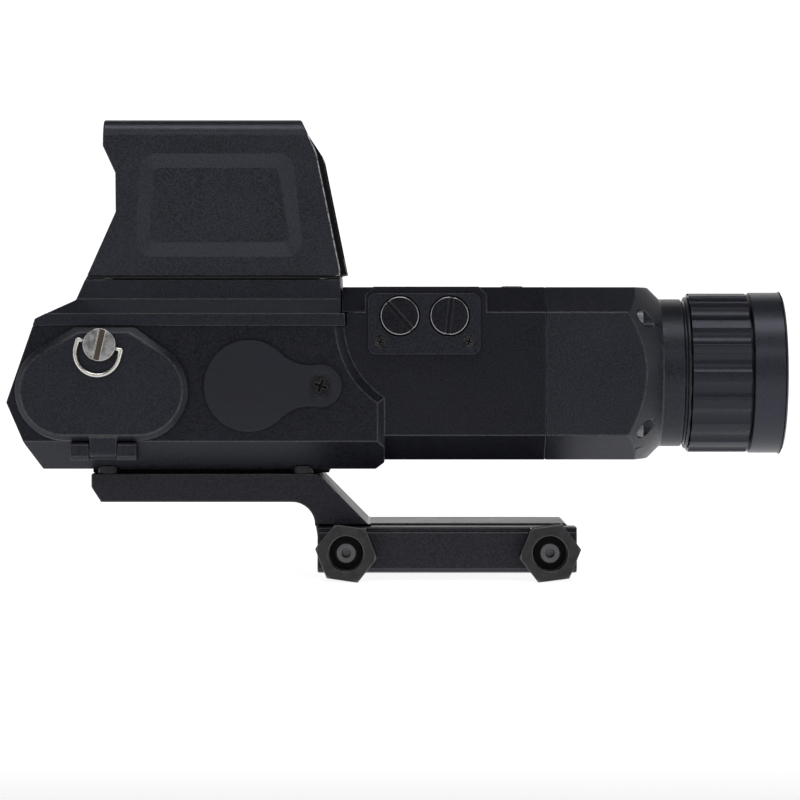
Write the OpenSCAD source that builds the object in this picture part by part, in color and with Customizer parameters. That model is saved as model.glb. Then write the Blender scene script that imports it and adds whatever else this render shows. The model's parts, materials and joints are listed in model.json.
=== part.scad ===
// Rail-mounted electronic red dot sight with a hooded window, an imaging tube and a
// cantilever rail mount. Millimetres. +X points to the objective, +Z up, and the
// controls and the battery door are on the -Y side.
// Origin: centre of the rail seat, midway between the two cross bolts.

/* [Lens tube] */
// Height of the lens axis above the rail seat
axis_z = 43; // [42.5:0.5:44]
// Half of the tube's width across its side flats
tube_half_w = 23; // [22.5:0.25:23.5]
// Half of the tube's height
tube_half_h = 21.5; // [21:0.25:22]
// Half of the width of the tube's top and bottom flats
tube_flat_half_w = 13.5; // [12.5:0.5:14]
// Half of the height of the tube's side flats
tube_flat_half_h = 15.2; // [15:0.1:16]
// Radius of the bore through the tube
tube_bore_r = 19; // [18:0.25:19]
// Seam between the main housing and the front housing
seam_x = 24.2; // [20:0.5:28]
// Place where the front cone meets the round neck
neck_x = 53.5; // [53:0.5:54]
// Radius of the round neck
neck_r = 18.6; // [18.4:0.1:19]

/* [Focus ring and objective bell] */
// Radius over the focus ring's lands
ring_r = 20.1; // [20:0.1:20.5]
// Number of finger flutes on the focus ring
flute_count = 18; // [12:1:20]
// Depth of a finger flute
flute_depth = 0.8; // [0.4:0.1:1]
// Radius of the objective bell
bell_r = 20.25; // [20:0.05:21]
// Length of the objective bell
bell_length = 8.3; // [7:0.1:9]
// Outer radius of the fixed lens barrel
barrel_r = 17; // [16.9:0.05:17.1]
// Travel of the lens cell along the lens axis
focus_travel = 3; // [1:0.5:3]

/* [Rear block] */
// Half of the rear block's width
block_half_w = 25; // [24.5:0.25:25.5]
// Height of the rear block's bottom face
block_z0 = 19.3; // [19.1:0.1:19.5]
// Height of the rear block's top face, under the hood base
block_z1 = 54.8; // [54.6:0.1:55]
// Radius of the round shoulder beside the tube
shoulder_r = 24; // [23.5:0.1:24]
// Bevel between the rear block's side and the tube's side
shoulder_bevel = 2; // [1.5:0.1:2]

/* [Hood and window] */
// Half of the hood's width
hood_half_w = 19; // [18.5:0.25:19.25]
// Thickness of the hood's side walls
hood_wall = 2.8; // [2.4:0.1:3]
// Height of the hood's top face
hood_z1 = 106; // [104:0.5:107]
// Radius of the hood's long top edges
hood_edge_r = 4.4; // [3:0.1:5]
// Depth of the recessed panel on each side of the hood
panel_depth = 0.9; // [0.5:0.1:1.2]
// Thickness of the slanted front window
window_t = 3; // [2:0.25:3]

/* [Battery door] */
// Radius of the door's two round lobes
lobe_r = 12.3; // [12:0.1:12.5]
// Thickness of the door
door_t = 3; // [2.8:0.1:3.2]
// Bevel around the door's outer face
door_bevel = 1.4; // [0.8:0.1:1.6]
// Radius of a battery bore
cell_bore_r = 8.75; // [8.6:0.05:8.8]
// Length of a battery cell
cell_length = 34.5; // [33:0.5:34.5]
// Radius of the latch screw's head
latch_r = 4; // [3.8:0.1:4.2]
// Thickness of the bail's wire
bail_wire_d = 1.1; // [0.9:0.1:1.2]

/* [Controls] */
// Radius of an adjuster dial
dial_r = 4.7; // [4.5:0.1:4.8]
// Radius of a push button
button_r = 3; // [2.6:0.1:3]
// Travel of a push button
button_travel = 0.6; // [0.3:0.1:0.6]
// Radius of the round flap of the port cover
flap_r = 11.3; // [11:0.1:11.5]
// Radius of the port cover's fixed tail
tail_r = 5.3; // [5:0.1:5.5]
// Thickness of the port cover
cover_t = 1.4; // [1:0.1:1.6]

/* [Rail mount] */
// Distance between the two cross bolts: five rail slots
bolt_pitch = 50.04; // [50.04]
// Height of a cross bolt's centre above the rail seat
bolt_z = -1; // [-1.1:0.1:-1]
// Radius of a cross bolt's waist, which lies in a rail slot
waist_r = 2; // [1.8:0.1:2]
// Radius of a cross bolt's threaded end
stud_r = 2.4; // [2.3:0.05:2.4]
// Size across the flats of a clamp nut
nut_af = 13.3; // [13:0.1:13.5]
// Radius of the recess in a clamp nut's front face
nut_recess_r = 4.35; // [4:0.05:4.5]
// Half of the width of the riser's bar
riser_half_w = 17; // [16.5:0.25:17.5]
// Distance that the clamp jaw opens
jaw_travel = 2.4; // [2:0.1:2.4]

/* [Hidden] */
$fn = 64;
// Radial clearance of a running fit
fit = 0.05;
// Overshoot of a cutting solid past the face that it cuts
cut = 0.5;

// Lens train, from the front housing's neck to the bell's mouth
neck_x1 = 59;
flange_x0 = 59.8;
flange_x1 = 60.6;
ring_x0 = 60.8;
ring_x1 = 75.4;
bell_x0 = 76.1;
bell_x1 = bell_x0 + bell_length;
barrel_x0 = 48;
barrel_x1 = 80;
barrel_bore_r = barrel_r - 1.5;
cell_x0 = 58;
cell_x1 = 77;
cell_bore_front_r = 13.6;
pin_x = 66;
flute_phase = 2.3;
pin_r = 1.5;
seam_screw_y = 18.5;
seam_screw_dz = 13.6;
seam_recess_r = 2.2;

// Rear block's side outline, from the tip round by the top
block_side = [
    [-108.6, 36], [-102.1, block_z1], [-15.65, block_z1], [-15.65, 21],
    [-17.8, block_z0], [-100.4, block_z0], [-104.1, 25.6]
];
block_end = [
    [-block_half_w, block_z1], [-block_half_w, 26.4], [-16, block_z0],
    [16, block_z0], [block_half_w, 26.4], [block_half_w, block_z1]
];
shoulder_centre = [-3.7, 55.6];
shoulder_x = -17.3;
tube_x0 = -25;
// The tube's upper part reaches back over the hood base's low step
tube_top_x0 = tube_x0 - 1.1;
tube_top_z0 = 58;
bay_x0 = -64;
bay_x1 = -29;

// Hood base and hood
base_side = [
    [-102.1, block_z1], [-101.5, 56.6], [-92, 61.2], [-89.3, 67.2],
    [-26.6, 67.2], [-26.4, 57.9], [-25.3, 57.9], [-25.3, block_z1]
];
base_end_half = [
    [25.5, block_z1], [25.5, 57.9], [24.6, 57.9], [20, 61.4],
    [19.5, 61.4], [19.5, 66.3], [18.6, 66.3], [18.6, 67.2]
];
hood_z0 = 67.2;
hood_side = [
    [-89.3, hood_z0], [-82.2, 83.1], [-82.3, 92.7], [-85.4, 99.4], [-85.3, hood_z1],
    [-36.3, hood_z1], [-32.5, 97.8], [-26.6, 68.7], [-26.6, hood_z0]
];
panel_outline = [[-76.1, 97.5], [-38.4, 97.5], [-35.6, 71.9], [-77.3, 71.9]];
panel_floor = [[-72.7, 94], [-42, 94], [-38.9, 75.5], [-73.9, 75.5]];
// Lower and upper ends of the window's outer face
window_foot = [-25.9, 69.2];
window_head = [-31.7, 97.8];
// The frame's outer face in front of the glass, and the slope that thins its top end
frame_lip = 0.45;
frame_slope = [[-34.49, 102.1], [-30.75, 96.4]];
// Underside and front edge of the hood's solid lintel over the window
lintel_z0 = window_head[1] + 0.4;
lintel_x = -32.6;

// Battery door, on the block's near face
door_y1 = -block_half_w - 0.2;
door_y0 = door_y1 - door_t;
lobe_x = [-94, -76];
lobe_z = 38.9;
door_top = [[-91.8, 54.5], [-76.8, 54.5]];
hinge_y = -26.5;
hinge_z = 24;
hinge_pin_r = 0.9;
hinge_tab_r = 1.25;
hinge_tab_x = [-87.9, -81.2];
hinge_gap = 0.2;
hinge_block_x = [-92.5, -76.4];
latch_x = -85.3;
latch_z = 50.2;
latch_lean = 12.6;
bail_tilt = 14.2;
bail_half_w = 5.45;
bail_leg = 2.1;
latch_y0 = door_y0 - 2.1;
latch_shank_r = 1.5;
bail_y = door_y0 - 1.1;

// Port cover, on the block's near face
flap_x = -48.9;
flap_z = 40.1;
tail_x = -31.3;
tail_z = flap_z;
neck_fillet_r = 10;
cover_y1 = -block_half_w - fit;
cover_y0 = cover_y1 - cover_t;
cover_split_x = -38.2;
cover_split = 0.3;

// Adjusters, on the tube's near face
pad_x = [-20.4, 9.6];
pad_z1 = axis_z + tube_half_h;
plate_x = [-19.6, 8];
plate_z = [47.8, 62.9];
plate_r = 1.9;
plate_y1 = -tube_half_w;
plate_y0 = plate_y1 - 1.2;
dial_x = [-11.85, 0.4];
dial_z = 57.3;
dial_slot_lean = [-42, 6.7];
dial_y0 = plate_y0 - 0.5;
dial_y1 = -20.5;
dial_shank_r = 2;
// Clearance round a dial in the adjuster plate
dial_gap = 0.4;
dial_shank_y1 = -14.6;
plate_screw_x = [-16.65, 5.15];
plate_screw_z = 50.9;
button_x = 16.3;
button_y = [-8, 0, 8];
button_z0 = 62.2;
button_z1 = axis_z + tube_half_h + 0.25;

// Riser, spacer and clamp
bar_z1 = 18.2;
riser_side = concat(
    [[-88.4, bar_z1]],
    arc_points(-33.4, bar_z1 - 3, 3, 90, 47, 5),
    [[-19.7, 5.6], [29.4, 5.6], [30.3, 4.7], [30.3, 0], [-31.4, 0], [-32.2, 0.8]],
    arc_points(-38.6, 5.4, 5.7, 0, 90, 8),
    [[-86, 11.1], [-88.4, 14.8]]
);
spacer_x = [-88.4, -29.5];
spacer_half_w = 11.4;
bolt_x = [-bolt_pitch / 2, bolt_pitch / 2];
jaw_x = [-32.2, 31.9];
jaw_y0 = -21;
rail_half_w = 10.6;
washer_y0 = jaw_y0 - 0.8;
nut_y1 = washer_y0 - fit;
nut_y0 = nut_y1 - 6;
nut_recess = 3.2;
spacer_screw_x = [-84.2, -36];
spacer_screw_y = 14.6;
riser_screw_x = [-80, -52];
riser_screw_y = 8;

// Points along an arc, from angle a0 to angle a1
function arc_points(cx, cz, r, a0, a1, n) =
    [for (i = [0:n]) [cx + r * cos(a0 + (a1 - a0) * i / n), cz + r * sin(a0 + (a1 - a0) * i / n)]];

// A half outline and its mirror image, as one closed outline
function mirrored(half) =
    concat(half, [for (i = [len(half) - 1:-1:0]) [-half[i][0], half[i][1]]]);

// A flat outline in Y and Z, drawn out along X
module along_x(x0, x1) {
    translate([x0, 0, 0]) rotate([90, 0, 90]) linear_extrude(x1 - x0) children();
}

// A flat outline in X and Z, drawn out along Y
module along_y(y0, y1) {
    translate([0, y1, 0]) rotate([90, 0, 0]) linear_extrude(y1 - y0) children();
}

module rod_x(x0, x1, r, y = 0, z = axis_z) {
    translate([x0, y, z]) rotate([0, 90, 0]) cylinder(h = x1 - x0, r = r);
}

module rod_y(y0, y1, r, x, z) {
    translate([x, y1, z]) rotate([90, 0, 0]) cylinder(h = y1 - y0, r = r);
}

module rod_z(z0, z1, r, x, y) {
    translate([x, y, z0]) cylinder(h = z1 - z0, r = r);
}

module box(x, y, z) {
    translate([x[0], y[0], z[0]]) cube([x[1] - x[0], y[1] - y[0], z[1] - z[0]]);
}

module both_sides() {
    children();
    mirror([0, 1, 0]) children();
}

module octagon(half_w, half_h, flat_w, flat_h) {
    translate([0, axis_z])
        polygon(mirrored([[flat_w, -half_h], [half_w, -flat_h], [half_w, flat_h], [flat_w, half_h]]));
}

module tube_section() {
    octagon(tube_half_w, tube_half_h, tube_flat_half_w, tube_flat_half_h);
}

module rounded_rectangle(x, z, r) {
    translate([x[0] + r, z[0]]) square([x[1] - x[0] - 2 * r, z[1] - z[0]]);
    translate([x[0], z[0] + r]) square([x[1] - x[0], z[1] - z[0] - 2 * r]);
    for (cx = [x[0] + r, x[1] - r], cz = [z[0] + r, z[1] - r])
        translate([cx, cz]) circle(r);
}

// The places of the four screws that join the two housings
module at_seam_screws() {
    for (y = [-seam_screw_y, seam_screw_y], dz = [-seam_screw_dz, seam_screw_dz])
        translate([0, y, axis_z + dz]) children();
}

// The outline round both battery bores, at a distance from their centres
module cell_outline(r) {
    for (x = lobe_x) translate([x, lobe_z]) circle(r);
}

// Cuts the rear block's side down to the tube's side, along the round shoulder
module shoulder_cut() {
    translate([shoulder_centre[0], -block_half_w - cut, shoulder_centre[1]])
        rotate([-90, 0, 0])
            cylinder(h = shoulder_bevel + cut, r1 = shoulder_r + cut, r2 = shoulder_r - shoulder_bevel,
                $fn = 96);
    slope = 1.65 / shoulder_bevel;
    translate([0, 0, block_z0 - 1])
        linear_extrude(40 - block_z0)
            polygon([
                [shoulder_x - cut * slope, -block_half_w - cut],
                [shoulder_x + 1.65, -block_half_w + shoulder_bevel],
                [0, -block_half_w + shoulder_bevel], [0, -block_half_w - cut]
            ]);
}

module block_solid() {
    difference() {
        intersection() {
            along_y(-block_half_w, block_half_w) polygon(block_side);
            along_x(-120, 0) polygon(block_end);
        }
        both_sides() shoulder_cut();
    }
}

// The flat pad that carries the adjusters up through the tube's upper chamfer
module adjuster_pad() {
    corner = 2;
    along_y(-tube_half_w, -10)
        polygon([
            [pad_x[0], 55], [pad_x[0], pad_z1 - corner], [pad_x[0] + corner, pad_z1],
            [pad_x[1] - corner, pad_z1], [pad_x[1], pad_z1 - corner], [pad_x[1], 55]
        ]);
}

module housing_hollows() {
    rod_x(tube_x0 + 3, seam_x + 1, tube_bore_r);
    box([bay_x1 - 1, tube_x0 + 4], [-10, 10], [31, 50]);
    box([bay_x0, -34], [-18.4, 18.4], [23, block_z1 + 1]);
    box([bay_x0, -34], [-21, 21], [27, block_z1 + 1]);
    box([-35, bay_x1], [-14, 14], [23, block_z1 + 1]);
    for (x = lobe_x) rod_y(-block_half_w - 1, 12, cell_bore_r, x, lobe_z);
    along_y(-block_half_w - 1, -block_half_w + 1)
        difference() {
            cell_outline(10.4);
            cell_outline(9.3);
        }
    rod_y(-block_half_w - 1, -19.5, 2.7, latch_x, latch_z);
    rod_y(-block_half_w - 1, -23.8, 3.6, latch_x, latch_z);
    along_y(-block_half_w - 1, -20) rounded_rectangle([flap_x - 5.4, flap_x + 5.4], [flap_z - 2.6, flap_z + 2.6], 2.5);
    rod_y(-block_half_w - 1, -22, 1, tail_x, tail_z);
}

module housing_control_holes() {
    for (x = dial_x) {
        rod_y(-tube_half_w - 1, dial_y1 + fit, dial_r + fit, x, dial_z);
        rod_y(-tube_half_w - 1, -10, dial_shank_r + fit, x, dial_z);
    }
    for (x = plate_screw_x) rod_y(-tube_half_w - 1, -19, 0.8, x, plate_screw_z);
    for (y = button_y) {
        rod_z(55, pad_z1 + 1, button_r + fit, button_x, y);
        rod_z(55, button_z0 + 0.3, button_r + 0.8, button_x, y);
    }
}

module housing_screw_holes() {
    at_seam_screws() rod_x(12, seam_x + 1, 1, 0, 0);
    for (x = spacer_screw_x, y = [-spacer_screw_y, spacer_screw_y]) rod_z(18, 20.5, 2.9, x, y);
    for (x = riser_screw_x, y = [-riser_screw_y, riser_screw_y]) rod_z(18, 22, 1.25, x, y);
    for (x = [-84, -31], y = [-17.5, 17.5]) rod_z(49, block_z1 + 1, 1, x, y);
}

module main_housing() {
    color("#2a2c33")
        difference() {
            union() {
                block_solid();
                along_x(tube_x0, seam_x) tube_section();
                intersection() {
                    along_x(tube_top_x0, seam_x) tube_section();
                    box([tube_top_x0 - 1, seam_x], [-30, 30], [tube_top_z0, 70]);
                }
                adjuster_pad();
            }
            housing_hollows();
            housing_control_holes();
            housing_screw_holes();
        }
}

module front_housing() {
    cone_r = neck_r + neck_x - seam_x;
    color("#2b2d34")
        difference() {
            union() {
                intersection() {
                    along_x(seam_x, neck_x) tube_section();
                    translate([seam_x, 0, axis_z]) rotate([0, 90, 0])
                        cylinder(h = neck_x - seam_x, r1 = cone_r, r2 = neck_r, $fn = 96);
                }
                rod_x(neck_x - 1, neck_x1, neck_r, $fn = 96);
                rod_x(neck_x1 - 1, flange_x0 + 0.1, neck_r - 0.7, $fn = 96);
                rod_x(flange_x0, flange_x1, neck_r + 0.6, $fn = 96);
            }
            rod_x(seam_x - 1, 46, tube_bore_r - 1, $fn = 96);
            rod_x(45, flange_x1 + 1, barrel_r, $fn = 96);
            at_seam_screws() {
                rod_x(46, 60, seam_recess_r, 0, 0);
                rod_x(seam_x - 1, 47, 1.05, 0, 0);
            }
        }
}

// A socket-head screw along +X: its head at x0, its point at x1
module seam_screw() {
    difference() {
        union() {
            rod_x(15, 46.1, 1, 0, 0);
            rod_x(46, 48.4, seam_recess_r - 0.1, 0, 0);
        }
        translate([47.2, 0, 0]) rotate([0, 90, 0]) cylinder(h = 2, r = 1.25, $fn = 6);
    }
}

module front_housing_screws() {
    color("#33343a") at_seam_screws() seam_screw();
}

module hood_base() {
    color("#2a2c33")
        difference() {
            intersection() {
                along_y(-30, 30) polygon(base_side);
                along_x(-110, 0) polygon(mirrored(base_end_half));
            }
            box([-72, -30], [-13, 13], [50, 70]);
            for (x = [-84, -31], y = [-17.5, 17.5]) {
                rod_z(50, 70, 1.05, x, y);
                rod_z(64.5, 70, 1.9, x, y);
            }
            for (x = [-70, -42], y = [-17.5, 17.5]) {
                rod_z(50, 70, 0.95, x, y);
                rod_z(50, 57, 1.8, x, y);
            }
        }
}

module hood_base_screws() {
    color("#33343a")
        for (x = [-84, -31], y = [-17.5, 17.5])
            difference() {
                union() {
                    rod_z(50, 64.6, 1, x, y);
                    rod_z(64.5, 66.6, 1.8, x, y);
                }
                translate([x, y, 65.4]) cylinder(h = 2, r = 1, $fn = 6);
            }
}

// The hood's cross-section, less a margin all round
module hood_section(inset) {
    r = hood_edge_r - min(inset, 2);
    half_w = hood_half_w - inset;
    top = hood_z1 - inset;
    translate([-half_w, hood_z0 - 5]) square([2 * half_w, top - r - hood_z0 + 5]);
    translate([-half_w + r, hood_z0 - 5]) square([2 * (half_w - r), top - hood_z0 + 5]);
    for (y = [-half_w + r, half_w - r]) translate([y, top - r]) circle(r);
}

// The recessed panel of one side wall, as a solid to cut away
module panel_cut() {
    hull() {
        along_y(-hood_half_w - cut, -hood_half_w + 0.01)
            offset(r = 4) offset(delta = -4) polygon(panel_outline);
        along_y(-hood_half_w, -hood_half_w + panel_depth)
            offset(r = 1.8) offset(delta = -1.8) polygon(panel_floor);
    }
}

module hood() {
    color("#272b30")
        difference() {
            intersection() {
                along_y(-hood_half_w, hood_half_w) polygon(hood_side);
                along_x(-100, 0) hood_section(0);
            }
            along_x(-101, -40) hood_section(hood_wall);
            box([-41, 1], [-hood_half_w + hood_wall, hood_half_w - hood_wall], [60, lintel_z0]);
            both_sides() panel_cut();
            for (x = [-70, -42], y = [-17.5, 17.5]) rod_z(60, 71, 0.9, x, y);
        }
}

module hood_screws() {
    color("#33343a")
        for (x = [-70, -42], y = [-17.5, 17.5]) {
            rod_z(55.2, 57, 1.7, x, y);
            rod_z(56.9, 70.5, 0.85, x, y);
        }
}

// A plate along the slanted window: from its outer face in by t, and from end to end
module window_plate(half_w, t0, t1, low, high) {
    run = window_head - window_foot;
    length = norm(run);
    u = run / length;
    n = [-u[1], u[0]];
    a = window_foot + low * u;
    b = window_head - high * u;
    along_y(-half_w, half_w) polygon([a + t0 * n, b + t0 * n, b + t1 * n, a + t1 * n]);
}

module front_window() {
    color("#8fa7b5", 0.4) window_plate(hood_half_w - hood_wall - 0.1, 0, window_t, 0.4, 0.4);
}

// The frame round the front window, which thins to a point along the hood's sloped brow
module window_frame() {
    brow = [[-32.5, 97.8], [-31.67, 97.8], frame_slope[0]];
    color("#141518") along_y(-hood_half_w + hood_wall, hood_half_w - hood_wall) polygon(brow);
    color("#141518")
        difference() {
            window_plate(hood_half_w - hood_wall, -frame_lip, window_t + 1.2, -1.5, -1);
            along_y(-hood_half_w, hood_half_w)
                polygon(concat(frame_slope, [[-28, 96.4], [-28, 104], [-34.49, 104]]));
            window_plate(hood_half_w - hood_wall - 2.4, -2, 6, 2.4, 1.6);
            window_plate(hood_half_w - hood_wall - 0.1, 0, window_t, 0.4, 0.4);
            box([-45, lintel_x], [-hood_half_w, hood_half_w], [lintel_z0 - 0.05, hood_z1]);
            box([-45, -20], [-hood_half_w, hood_half_w], [hood_z0 - 3, hood_z0 + fit]);
        }
}

module rear_window() {
    color("#8fa7b5", 0.35) box([-80.4, -78.4], [-14.4, 14.4], [69, 100.8]);
}

module rear_window_seal() {
    color("#16171a")
        difference() {
            intersection() {
                along_x(-80.9, -77.9) hood_section(hood_wall + 0.1);
                box([-81, -77], [-hood_half_w, hood_half_w], [hood_z0, hood_z1]);
            }
            box([-90, -70], [-13, 13], [70.4, 99.4]);
            box([-80.4, -78.4], [-14.4, 14.4], [69, 100.8]);
        }
}

module display_module() {
    color("#20303a") {
        box([-61, -59], [-9, 9], [34, 52]);
        box([-59, -57.4], [-6.5, 6.5], [38, 49]);
    }
}

module projection_lens() {
    color("#9db6c4", 0.5)
        intersection() {
            rod_x(-54, -49.5, 6, 0, 43.5);
            translate([-62.5, 0, 43.5]) sphere(13);
        }
}

module fold_mirror() {
    color("#c8ccd0")
        translate([-42, 0, 46]) rotate([0, -38, 0]) translate([-1, -9, -8]) cube([1.6, 18, 16]);
}

module optics_bracket() {
    color("#24262b")
        difference() {
            union() {
                box([-56.5, -34.5], [-9.5, 9.5], [23, 34.5]);
                box([-56.5, -48.5], [-9.5, 9.5], [34, 52]);
            }
            rod_x(-57, -48, 6, 0, 43.5);
            translate([-42, 0, 46]) rotate([0, -38, 0]) translate([-1.05, -10, -9]) cube([30, 20, 30]);
            box([-50, -34], [-12, 12], [34.4, 60]);
        }
}

module main_circuit_board() {
    color("#1d4a33") box([-62.5, -35.5], [-18.1, -16.5], [24, 53]);
    color("#15161a") {
        box([-58, -50], [-16.5, -15], [44, 51]);
        box([-47, -40], [-16.5, -15.2], [27, 34]);
        box([-60, -56], [-16.5, -14], [27, 33]);
    }
}

module usb_port() {
    color("#a5a8ac")
        difference() {
            along_y(-21.8, -18.1)
                rounded_rectangle([flap_x - 4.47, flap_x + 4.47], [flap_z - 1.63, flap_z + 1.63], 1.5);
            along_y(-22.5, -19)
                rounded_rectangle([flap_x - 4.1, flap_x + 4.1], [flap_z - 1.28, flap_z + 1.28], 1.2);
        }
    color("#15161a") box([flap_x - 3.3, flap_x + 3.3], [-21.2, -19], [flap_z - 0.35, flap_z + 0.35]);
}

module sensor_bulkhead() {
    color("#24262b")
        difference() {
            rod_x(3, 6, tube_bore_r);
            rod_x(2, 7, 8);
        }
}

module sensor_module() {
    color("#1d4a33") box([6, 7.6], [-12.5, 12.5], [axis_z - 12.5, axis_z + 12.5]);
    color("#101114") box([7.6, 10], [-7, 7], [axis_z - 6, axis_z + 6]);
}

module battery_cells() {
    cell_y0 = -24.3;
    color("#3d5a8c")
        for (x = lobe_x) {
            rod_y(cell_y0, cell_y0 + cell_length - 1, 8.4, x, lobe_z);
            rod_y(cell_y0 + cell_length - 1.1, cell_y0 + cell_length, 3, x, lobe_z);
        }
}

module battery_springs() {
    color("#c9a94a") for (x = lobe_x) rod_y(-24.3 + cell_length, 12, 3.4, x, lobe_z);
}

module door_slice(y0, y1, inset) {
    along_y(y0, y1) {
        for (x = lobe_x) translate([x, lobe_z]) circle(lobe_r - inset, $fn = 32);
        translate([door_top[0][0] + inset, lobe_z])
            square([door_top[1][0] - door_top[0][0] - 2 * inset, door_top[0][1] - lobe_z - inset]);
    }
}

module battery_door() {
    color("#2a2c33")
        difference() {
            union() {
                hull() {
                    door_slice(door_y0 + door_bevel, door_y1, 0);
                    door_slice(door_y0, door_y0 + door_bevel, door_bevel);
                }
                box(hinge_tab_x, [hinge_y - hinge_tab_r, hinge_y + hinge_tab_r], [hinge_z, lobe_z - 8]);
                rod_x(hinge_tab_x[0], hinge_tab_x[1], hinge_tab_r, hinge_y, hinge_z);
            }
            rod_x(hinge_tab_x[0] - 1, hinge_tab_x[1] + 1, hinge_pin_r + fit, hinge_y, hinge_z);
            rod_y(door_y0 - 1, door_y1 + 1, latch_shank_r + fit, latch_x, latch_z);
        }
}

module door_contacts() {
    color("#c9a94a") for (x = lobe_x) rod_y(door_y1, door_y1 + 0.6, 6, x, lobe_z);
}

module door_seal() {
    color("#3a2320")
        along_y(-block_half_w - 0.1, -block_half_w + 0.9)
            difference() {
                cell_outline(10.3);
                cell_outline(9.4);
            }
}

module door_hinge_block() {
    knuckle = [
        [-27.9, 25.6], [-27.2, 26.2], [-block_half_w, 26.4], [-19.3, 21.9], [-26.9, 21.9], [-27.9, 22.9]
    ];
    behind_tab = [[-block_half_w, 26.4], [-19.3, 21.9], [-23.4, 21.9]];
    color("#2a2c33")
        difference() {
            union() {
                along_x(hinge_block_x[0], hinge_tab_x[0] - hinge_gap) polygon(knuckle);
                along_x(hinge_tab_x[1] + hinge_gap, hinge_block_x[1]) polygon(knuckle);
                along_x(hinge_tab_x[0] - 1, hinge_tab_x[1] + 1) polygon(behind_tab);
            }
            rod_x(hinge_block_x[0] + 1, hinge_block_x[1] - 1, hinge_pin_r, hinge_y, hinge_z);
            rod_x(hinge_tab_x[0] - hinge_gap, hinge_tab_x[1] + hinge_gap, 1.8, hinge_y, hinge_z);
        }
}

module door_hinge_pin() {
    color("#8e9094") rod_x(hinge_block_x[0] + 1, hinge_block_x[1] - 1, hinge_pin_r, hinge_y, hinge_z);
}

module latch_screw() {
    color("#c9c7c2")
        difference() {
            union() {
                rod_y(latch_y0, door_y0 - 0.1, latch_r, latch_x, latch_z);
                rod_y(door_y0 - 0.2, -21, latch_shank_r, latch_x, latch_z);
            }
            translate([latch_x, latch_y0 + 0.4, latch_z]) rotate([0, latch_lean, 0])
                translate([-0.8, -1.4, -6]) cube([1.6, 2, 12]);
            translate([latch_x, bail_y, latch_z]) rotate([0, bail_tilt, 0])
                for (side = [0, 180])
                    rotate([0, 90 + side, 0]) translate([0, 0, 2.6]) cylinder(h = 3, r = bail_wire_d / 2 + fit);
        }
}

module latch_clip() {
    color("#9a9a98")
        difference() {
            rod_y(door_y1 + 0.05, door_y1 + 0.75, 2.9, latch_x, latch_z);
            rod_y(door_y1 - 1, door_y1 + 2, latch_shank_r, latch_x, latch_z);
        }
}

// The bail hangs from two stubs in the latch screw's head
module d_ring() {
    wire_r = bail_wire_d / 2;
    color("#d4cfc4")
        translate([latch_x, bail_y, latch_z]) rotate([0, bail_tilt, 0]) {
            for (side = [-1, 1]) {
                translate([side * bail_half_w, 0, -bail_leg]) cylinder(h = bail_leg, r = wire_r, $fn = 24);
                translate([side * bail_half_w, 0, 0]) sphere(wire_r, $fn = 24);
                translate([side > 0 ? 2.9 : -bail_half_w, 0, 0]) rotate([0, 90, 0])
                    cylinder(h = bail_half_w - 2.9, r = wire_r, $fn = 24);
            }
            translate([0, 0, -bail_leg]) rotate([90, 0, 0]) rotate([0, 0, 180])
                rotate_extrude(angle = 180) translate([bail_half_w, 0]) circle(wire_r, $fn = 24);
        }
}

// The port cover's outline: a round flap and a round tail with a filleted neck between
module cover_outline() {
    span = tail_x - flap_x;
    a = flap_r + neck_fillet_r;
    b = tail_r + neck_fillet_r;
    // Place of the fillet's centre, from the two circles that it touches
    dx = (a * a - b * b + span * span) / (2 * span);
    dz = sqrt(a * a - dx * dx);
    flap_turn = atan2(dz, dx);
    tail_turn = atan2(dz, span - dx);
    polygon(concat(
        arc_points(flap_x, flap_z, flap_r, flap_turn, 360 - flap_turn, 48),
        arc_points(flap_x + dx, flap_z - dz, neck_fillet_r, 180 - flap_turn, tail_turn, 8),
        arc_points(tail_x, tail_z, tail_r, tail_turn - 180, 180 - tail_turn, 24),
        arc_points(flap_x + dx, flap_z + dz, neck_fillet_r, -tail_turn, flap_turn - 180, 8)
    ));
}

module port_cover_tail() {
    color("#2b2e37")
        difference() {
            along_y(cover_y0, cover_y1)
                intersection() {
                    cover_outline();
                    translate([cover_split_x + cover_split, 20]) square([30, 40]);
                }
            rod_y(cover_y0 - 1, cover_y1 + 1, 1.05, tail_x, tail_z);
            rod_y(cover_y0 - 1, cover_y0 + 0.7, 2.65, tail_x, tail_z);
        }
}

module port_cover_flap() {
    color("#2b2e37")
        along_y(cover_y0, cover_y1)
            intersection() {
                cover_outline();
                translate([cover_split_x - 40, 20]) square([40, 40]);
            }
}

// A cross-head screw along +Y: its head at y0
module cross_screw(x, z, y0, head_r, head_h, shank_r, y1) {
    difference() {
        union() {
            rod_y(y0, y0 + head_h, head_r, x, z);
            rod_y(y0 + head_h - 0.1, y1, shank_r, x, z);
        }
        for (turn = [0, 90])
            translate([x, y0 + head_h * 0.25, z]) rotate([0, turn + 20, 0])
                cube([head_r * 1.3, head_h, head_r * 0.32], center = true);
    }
}

module port_cover_screw() {
    color("#2a2b30") cross_screw(tail_x, tail_z, cover_y0, 2.55, 0.7, 0.95, -22.2);
}

module adjuster_plate() {
    color("#2a2c33")
        difference() {
            along_y(plate_y0, plate_y1) rounded_rectangle(plate_x, plate_z, plate_r);
            for (x = dial_x) rod_y(plate_y0 - 1, plate_y1 + 1, dial_r + dial_gap, x, dial_z);
            for (x = plate_screw_x) {
                rod_y(plate_y0 - 1, plate_y0 + 0.8, 1.7, x, plate_screw_z);
                rod_y(plate_y0 - 1, plate_y1 + 1, 0.85, x, plate_screw_z);
            }
        }
}

module adjuster_plate_screws() {
    color("#3b3c42")
        for (x = plate_screw_x) cross_screw(x, plate_screw_z, plate_y0 + 0.1, 1.5, 0.7, 0.75, -19.5);
}

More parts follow.
